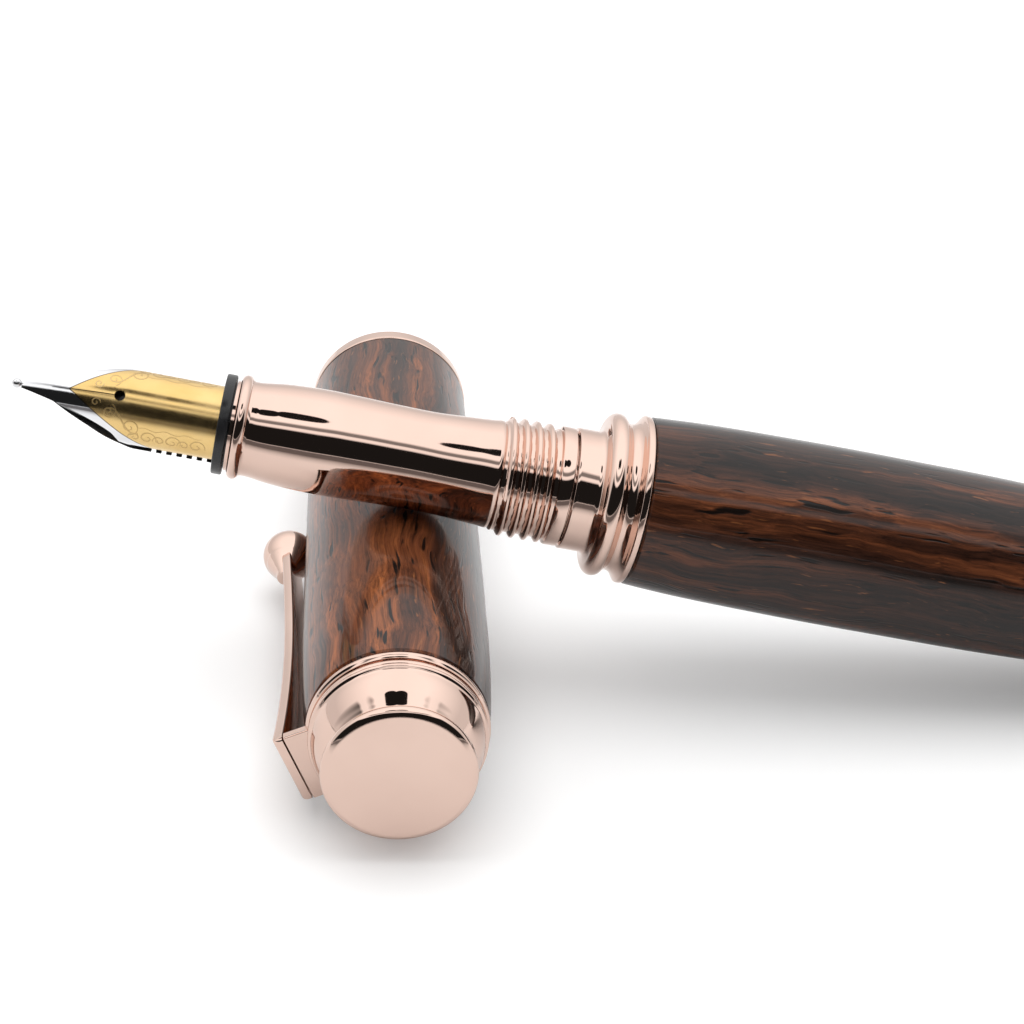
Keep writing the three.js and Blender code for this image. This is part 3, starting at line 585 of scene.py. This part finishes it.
def nib():
    stations = [NIB_BASE + (HOLE_STATION - HOLE_RADIUS - NIB_BASE) * i / 26 for i in range(26)]
    stations += [HOLE_STATION - HOLE_RADIUS * math.cos(math.pi * i / 18) for i in range(19)]
    past_hole = HOLE_STATION + HOLE_RADIUS
    stations += [past_hole + (NIB_TIP - past_hole) * i / 34 for i in range(1, 35)]
    across = 26
    builder = bmesh.new()
    uv = builder.loops.layers.uv.new("nib")
    flat = {}
    for side in (1, -1):
        skins = []
        for depth in (0.0, -NIB_THICKNESS):
            rows = []
            for z in stations:
                _, radius, angle = nib_station(z)
                inner = math.asin(min(0.9, nib_inner_edge(z) / radius))
                row = []
                for j in range(across + 1):
                    turn = inner + (angle - inner) * j / across
                    thin = depth * (0.55 + 0.45 * min(1, (NIB_TIP - z) / 9))
                    vert = builder.verts.new(nib_point(z, side * turn, thin))
                    flat[vert] = (side * turn * radius, z)
                    row.append(vert)
                rows.append(row)
            skins.append(rows)
        outer, under = skins
        for rows in skins:
            for a, b in zip(rows, rows[1:]):
                for j in range(across):
                    builder.faces.new((a[j], a[j + 1], b[j + 1], b[j]))
        for i in range(len(stations) - 1):
            open_here = max(nib_inner_edge(stations[i]), nib_inner_edge(stations[i + 1])) > 0
            for j in (across, 0) if open_here else (across,):
                builder.faces.new((outer[i][j], outer[i + 1][j], under[i + 1][j], under[i][j]))
        for i in (0, len(stations) - 1):
            for j in range(across):
                builder.faces.new((outer[i][j], outer[i][j + 1], under[i][j + 1], under[i][j]))
    for face in builder.faces:
        for loop in face.loops:
            loop[uv].uv = flat[loop.vert]
    bmesh.ops.remove_doubles(builder, verts=builder.verts, dist=1e-7)
    finish_mesh("nib_formed", builder, PEN, "nib_unit", nib_finish, ["nib"], 55)


def scroll(builder, side, z, across, size, turns, way, start):
    """A flat engraved spiral laid on the nib's skin, from (z, across) in millimetres."""
    steps = int(26 * turns)
    line = []
    for i in range(steps + 1):
        t = i / steps
        reach = size * (1 - 0.86 * t)
        angle = start + way * turns * 2 * math.pi * t
        line.append(Vector((z + reach * math.cos(angle), across + reach * math.sin(angle))))
    ribbon(builder, side, line, 0.062)


def ribbon(builder, side, line, width):
    """A thin strip along a line of (z, across) points on the nib's skin."""
    previous = None
    for i, here in enumerate(line):
        way = (line[min(i + 1, len(line) - 1)] - line[max(i - 1, 0)]).normalized()
        normal = Vector((-way.y, way.x))
        taper = width * (0.35 + 0.65 * math.sin(math.pi * (0.12 + 0.76 * i / (len(line) - 1))))
        pair = []
        for edge in (here + normal * taper, here - normal * taper):
            radius = nib_station(edge.x)[1]
            pair.append(builder.verts.new(nib_point(edge.x, side * edge.y / radius, 0.006)))
        if previous:
            builder.faces.new((previous[0], previous[1], pair[1], pair[0]))
        previous = pair


def nib_ornament():
    """Plain leaf scrolls along both sides of the nib."""
    builder = bmesh.new()
    for side in (1, -1):
        for i in range(3):
            z = 38.6 + i * 2.1
            scroll(builder, side, z, 3.5, 0.78, 1.3, 1, math.pi * 0.9)
            scroll(builder, side, z + 1.1, 3.6, 0.55, 1.2, -1, math.pi * 0.1)
        scroll(builder, side, 44.4, 2.6, 0.85, 1.4, 1, math.pi * 0.5)
        scroll(builder, side, 46.3, 1.5, 0.68, 1.35, -1, -math.pi * 0.6)
        scroll(builder, side, 47.5, 0.85, 0.42, 1.2, 1, math.pi)
        stem = []
        for k in range(25):
            t = k / 24
            stem.append(Vector((43.6 + 2.9 * t, 3.15 - 1.9 * t + 0.42 * math.sin(2 * math.pi * t))))
        ribbon(builder, side, stem, 0.075)
        base = []
        for k in range(41):
            t = k / 40
            base.append(Vector((38.2 + 5.4 * t, 2.55 + 0.1 * math.sin(6 * math.pi * t))))
        ribbon(builder, side, base, 0.03)
    finish_mesh("nib_ornament", builder, PEN, "nib_unit", engraving, [])


def feed():
    """A round core that tapers under the tines, and a finned belly below the nib's edges."""
    core = [(0, 26), (2.2, 26), (2.7, 27), (2.7, 44)]
    core += smooth([(2.7, 44.2), (2.35, 46), (1.62, 48.4), (0.9, 50.8), (0.3, 52.0)], 8) + [(0, 52.1)]
    turned("feed_core", core, PEN, "nib_unit", black_plastic, around=72)
    comb = [(1.0, 30), (3.5, 30), (3.5, 37.5)]
    for i in range(6):
        z = 37.62 + i * 0.88
        comb += [(3.5, z), (2.75, z + 0.02), (2.75, z + 0.40), (3.5, z + 0.42)]
    comb += [(3.5, 44.0)] + smooth([(3.45, 44.4), (2.95, 46.4), (2.1, 48.6), (1.2, 51.0), (1.0, 51.7)], 8)
    builder = bmesh.new()
    flat = 0.95
    columns = 40
    rows = []
    for radius, z in comb:
        radius = max(radius, flat + 0.02)
        edge = math.asin(flat / radius)
        row = []
        for j in range(columns + 1):
            turn = -edge - (math.pi - 2 * edge) * j / columns
            place = (radius * math.cos(turn) * MM, radius * math.sin(turn) * MM, z * MM)
            row.append(builder.verts.new(place))
        rows.append(row)
    for a, b in zip(rows, rows[1:]):
        for j in range(columns):
            builder.faces.new((a[j], a[j + 1], b[j + 1], b[j]))
        builder.faces.new((a[0], b[0], b[columns], a[columns]))
    builder.faces.new(rows[0])
    builder.faces.new(list(reversed(rows[-1])))
    finish_mesh("feed_fins", builder, PEN, "nib_unit", black_plastic, ["feed"])


nib()
nib_ornament()
feed()
tip_top = nib_station(NIB_TIP)[0]
pellet = [(0, -0.52)] + arc(0, 0, 0.42, -80, 80, 16) + [(0, 0.46)]
pellet_place = PEN @ Matrix.Translation((0, (tip_top - 0.14) * MM, (NIB_TIP + 0.42) * MM))
turned("nib_tipping_ground", pellet, pellet_place, "nib_unit", tipping_metal, ["nib_tipping"],
       around=36)
housing = [(3.56, 29.42), (3.73, 29.42), (3.73, 36.22), (4.3, 36.22)] + arc(4.28, 36.34, 0.1, -90, 0, 4)
housing += arc(4.26, 37.0, 0.12, 0, 90, 5) + [(3.66, 37.12), (3.56, 37.02)]
turned("nib_housing_moulded", housing, PEN, "nib_collar", black_plastic, ["nib_housing"])

# ------------------------------------------------------------------ converter
glass_tube = [(2.8, -30), (3.1, -30), (3.1, -22), (3.4, -22), (3.4, 16.5), (3.3, 17.5), (3.1, 18), (2.8, 18)]
turned("converter_tube_clear", glass_tube, PEN, "converter", clear_plastic,
       ["converter_tube"])
trim = [(3.2, -30), (3.65, -30), (3.75, -29.9), (3.75, -22.3), (3.65, -22.2), (3.2, -22.2)]
turned("converter_sleeve_polished", trim, PEN, "converter", rose_gold, ["converter_sleeve"])
nut = [(1.2, -31.2), (3.3, -31.2), (3.4, -31.1), (3.4, -30.2), (3.3, -30.12)]
nut += [(2.7, -30.12), (2.7, -27), (1.2, -27)]
turned("converter_nut_moulded", nut, PEN, "converter", black_plastic, ["converter_nut"])


def knurl(turn, z, radius):
    """Fine lengthwise ribs between the knob's grooves."""
    return 0.06 * math.cos(36 * turn) - 0.06 if radius > 3.35 else 0


knob = [(1.4, -31.32), (2.9, -31.32), (3.3, -31.5), (3.4, -31.8)]
for groove in range(3):
    z = -34.4 - groove * 3
    knob += [(3.4, z), (3.08, z - 0.35), (3.05, z - 0.5), (3.08, z - 0.65), (3.4, z - 1)]
knob += [(3.4, -44.6)] + arc(2.9, -44.8, 0.5, 0, -90, 8) + [(0, -45.3), (0, -44.3), (1.4, -44.3)]
turned("converter_knob_ribbed", knob, PEN, "converter_handle", black_plastic,
       ["converter_knob"], around=216, wobble=knurl)
seal = [(0, 4), (2.5, 4), (2.74, 4.2), (2.74, 4.9), (2.5, 5.2)]
seal += [(2.5, 6.8), (2.74, 7.1), (2.74, 7.7), (2.5, 8), (0, 8)]
turned("converter_piston_seal", seal, PEN, "piston", seal_rubber, ["converter_piston"])
screw = [(0, -32.2), (0.8, -32.2)] + [(1.1 if k % 2 else 0.88, -32 + k * 0.25) for k in range(143)]
screw += [(0.9, 3.86), (0, 3.88)]
turned("converter_rod_threaded", screw, PEN, "piston", steel, ["converter_piston_rod"],
       around=40)

# ------------------------------------------------------------------ table, light and camera
scene = bpy.context.scene


def floor():
    """A plain pale table; in what the metal mirrors it turns dark toward the front, a painted dark
    reflection.
    """
    mesh = bpy.data.meshes.new("floor")
    builder = bmesh.new()
    bmesh.ops.create_circle(builder, cap_ends=True, radius=6, segments=96)
    builder.to_mesh(mesh)
    builder.free()
    table = bpy.data.objects.new("floor", mesh)
    scene.collection.objects.link(table)
    table.location.z = -0.0001
    material, shader, node, link = new_material("pale_table")
    where = node("ShaderNodeTexCoord").outputs["Object"]
    drift = node("ShaderNodeTexNoise", {"Vector": where, "Scale": 9, "Detail": 3}).outputs["Fac"]
    pale = ramp(node, drift, [(0.3, grey(0.86)), (0.7, grey(0.88))])
    toward = node("ShaderNodeSeparateXYZ", {"Vector": where}).outputs["Y"]
    # painted reflection: only glossy rays see the table darken toward the front, so the metal mirrors a
    # painted dark front
    shade = node("ShaderNodeMapRange", {"Value": toward, "From Min": -0.06, "From Max": -0.15, "To Max": 0.9})
    mirrored = node("ShaderNodeLightPath").outputs["Is Glossy Ray"]
    shade = node("ShaderNodeMath", {0: shade.outputs["Result"], 1: mirrored}, operation="MULTIPLY").outputs[0]
    pale = mixed_colour(node, shade, pale, (0.05, 0.04, 0.04, 1))
    link(pale, "Base Color")
    shader.inputs["Roughness"].default_value = 0.55
    seen = node("ShaderNodeLightPath").outputs["Is Camera Ray"]
    lift = node("ShaderNodeMath", {0: seen, 1: 0.17}, operation="MULTIPLY").outputs[0]
    link(lift, "Emission Strength")
    shader.inputs["Emission Color"].default_value = (1, 1, 1, 1)
    mesh.materials.append(material)


def studio_world():
    """White all round for the camera; reflections also see a dark band low in front and a bright ceiling."""
    world = bpy.data.worlds.new("studio")
    scene.world = world
    world.use_nodes = True
    tree = world.node_tree
    tree.nodes.clear()

    def node(kind, inputs=None, **settings):
        made = tree.nodes.new(kind)
        for key, value in settings.items():
            setattr(made, key, value)
        for key, value in (inputs or {}).items():
            if isinstance(value, bpy.types.NodeSocket):
                tree.links.new(value, made.inputs[key])
            else:
                made.inputs[key].default_value = value
        return made

    way = node("ShaderNodeTexCoord").outputs["Generated"]
    parts = node("ShaderNodeSeparateXYZ", {"Vector": way})
    x, y, z = (parts.outputs[k] for k in "XYZ")

    def between(value, low, high):
        made = node("ShaderNodeMapRange", {"Value": value, "From Min": low, "From Max": high})
        return made.outputs["Result"]

    def times(a, b):
        return node("ShaderNodeMath", {0: a, 1: b}, operation="MULTIPLY").outputs[0]

    def minus(a):
        return node("ShaderNodeMath", {0: 1.0, 1: a}, operation="SUBTRACT").outputs[0]

    front = between(y, -0.10, -0.30)
    band = times(minus(between(z, 0.62, 0.66)), between(z, 0.0, 0.03))
    strip = times(minus(between(z, 0.79, 0.83)), between(z, 0.71, 0.74))
    side_gap = between(node("ShaderNodeMath", {0: x}, operation="ABSOLUTE").outputs[0], 0.62, 0.50)
    strip = times(times(strip, side_gap), 0.8)
    dark = times(front, node("ShaderNodeMath", {0: band, 1: strip}, operation="MAXIMUM").outputs[0])

    def spot(cx, cy, cz, size):
        """A soft round patch of direction."""
        centre = Vector((cx, cy, cz)).normalized()
        near = node("ShaderNodeVectorMath", {0: way, 1: centre}, operation="DOT_PRODUCT").outputs["Value"]
        return between(near, math.cos(size * 1.15), math.cos(size))

    for cx in (-0.15, 0.05):
        patch = spot(cx, -0.30, 0.95, 0.12)
        dark = node("ShaderNodeMath", {0: dark, 1: patch}, operation="MAXIMUM").outputs[0]
    rise = {"Value": z, "From Min": 0.25, "From Max": 0.85, "To Min": 0.85, "To Max": 1.45}
    bright = node("ShaderNodeMapRange", rise).outputs["Result"]
    level = node("ShaderNodeMapRange", {"Value": dark, "To Min": bright, "To Max": 0.014})
    level = level.outputs["Result"]
    studio = node("ShaderNodeBackground", {"Color": (1, 1, 1, 1), "Strength": level}).outputs[0]
    plain = node("ShaderNodeBackground", {"Color": (1, 1, 1, 1), "Strength": 1.0}).outputs[0]
    seen = node("ShaderNodeLightPath").outputs["Is Camera Ray"]
    both = node("ShaderNodeMixShader", {0: seen, 1: studio, 2: plain}).outputs[0]
    node("ShaderNodeOutputWorld", {"Surface": both})


def softbox(name, place, target, size, power):
    data = bpy.data.lights.new(name, "AREA")
    data.shape = "RECTANGLE"
    data.size, data.size_y = size
    data.energy = power
    lamp = bpy.data.objects.new(name, data)
    lamp.visible_glossy = False
    scene.collection.objects.link(lamp)
    lamp.location = place
    lamp.rotation_euler = (Vector(target) - Vector(place)).to_track_quat("-Z", "Y").to_euler()
    return lamp


def camera():
    """At the photograph's viewing angle: above the front, with a slight roll."""
    cam = bpy.data.cameras.new("camera")
    cam.sensor_width = 36
    cam.lens = 68.04
    cam.clip_start = 0.01
    cam.clip_end = 50
    holder = bpy.data.objects.new("camera", cam)
    scene.collection.objects.link(holder)
    yaw, pitch, tilt = (math.radians(a) for a in (2.752, 27.621, 3.088))
    forward = Vector((math.sin(yaw) * math.cos(pitch), math.cos(yaw) * math.cos(pitch), -math.sin(pitch)))
    level = Vector((math.cos(yaw), -math.sin(yaw), 0))
    over = level.cross(forward)
    right = level * math.cos(tilt) + over * math.sin(tilt)
    upright = over * math.cos(tilt) - level * math.sin(tilt)
    holder.matrix_world = axes(Vector((-26.24, -157.68, 95.73)) * MM, right, upright, -forward)
    scene.camera = holder


floor()
studio_world()
softbox("ceiling", (0.0, 0.05, 0.75), (0, 0, 0), (0.9, 0.6), 2.0)
softbox("left_panel", (-0.7, 0.05, 0.35), (0, 0, 0.01), (0.4, 0.5), 0.5)
camera()
scene.view_settings.view_transform = "Standard"
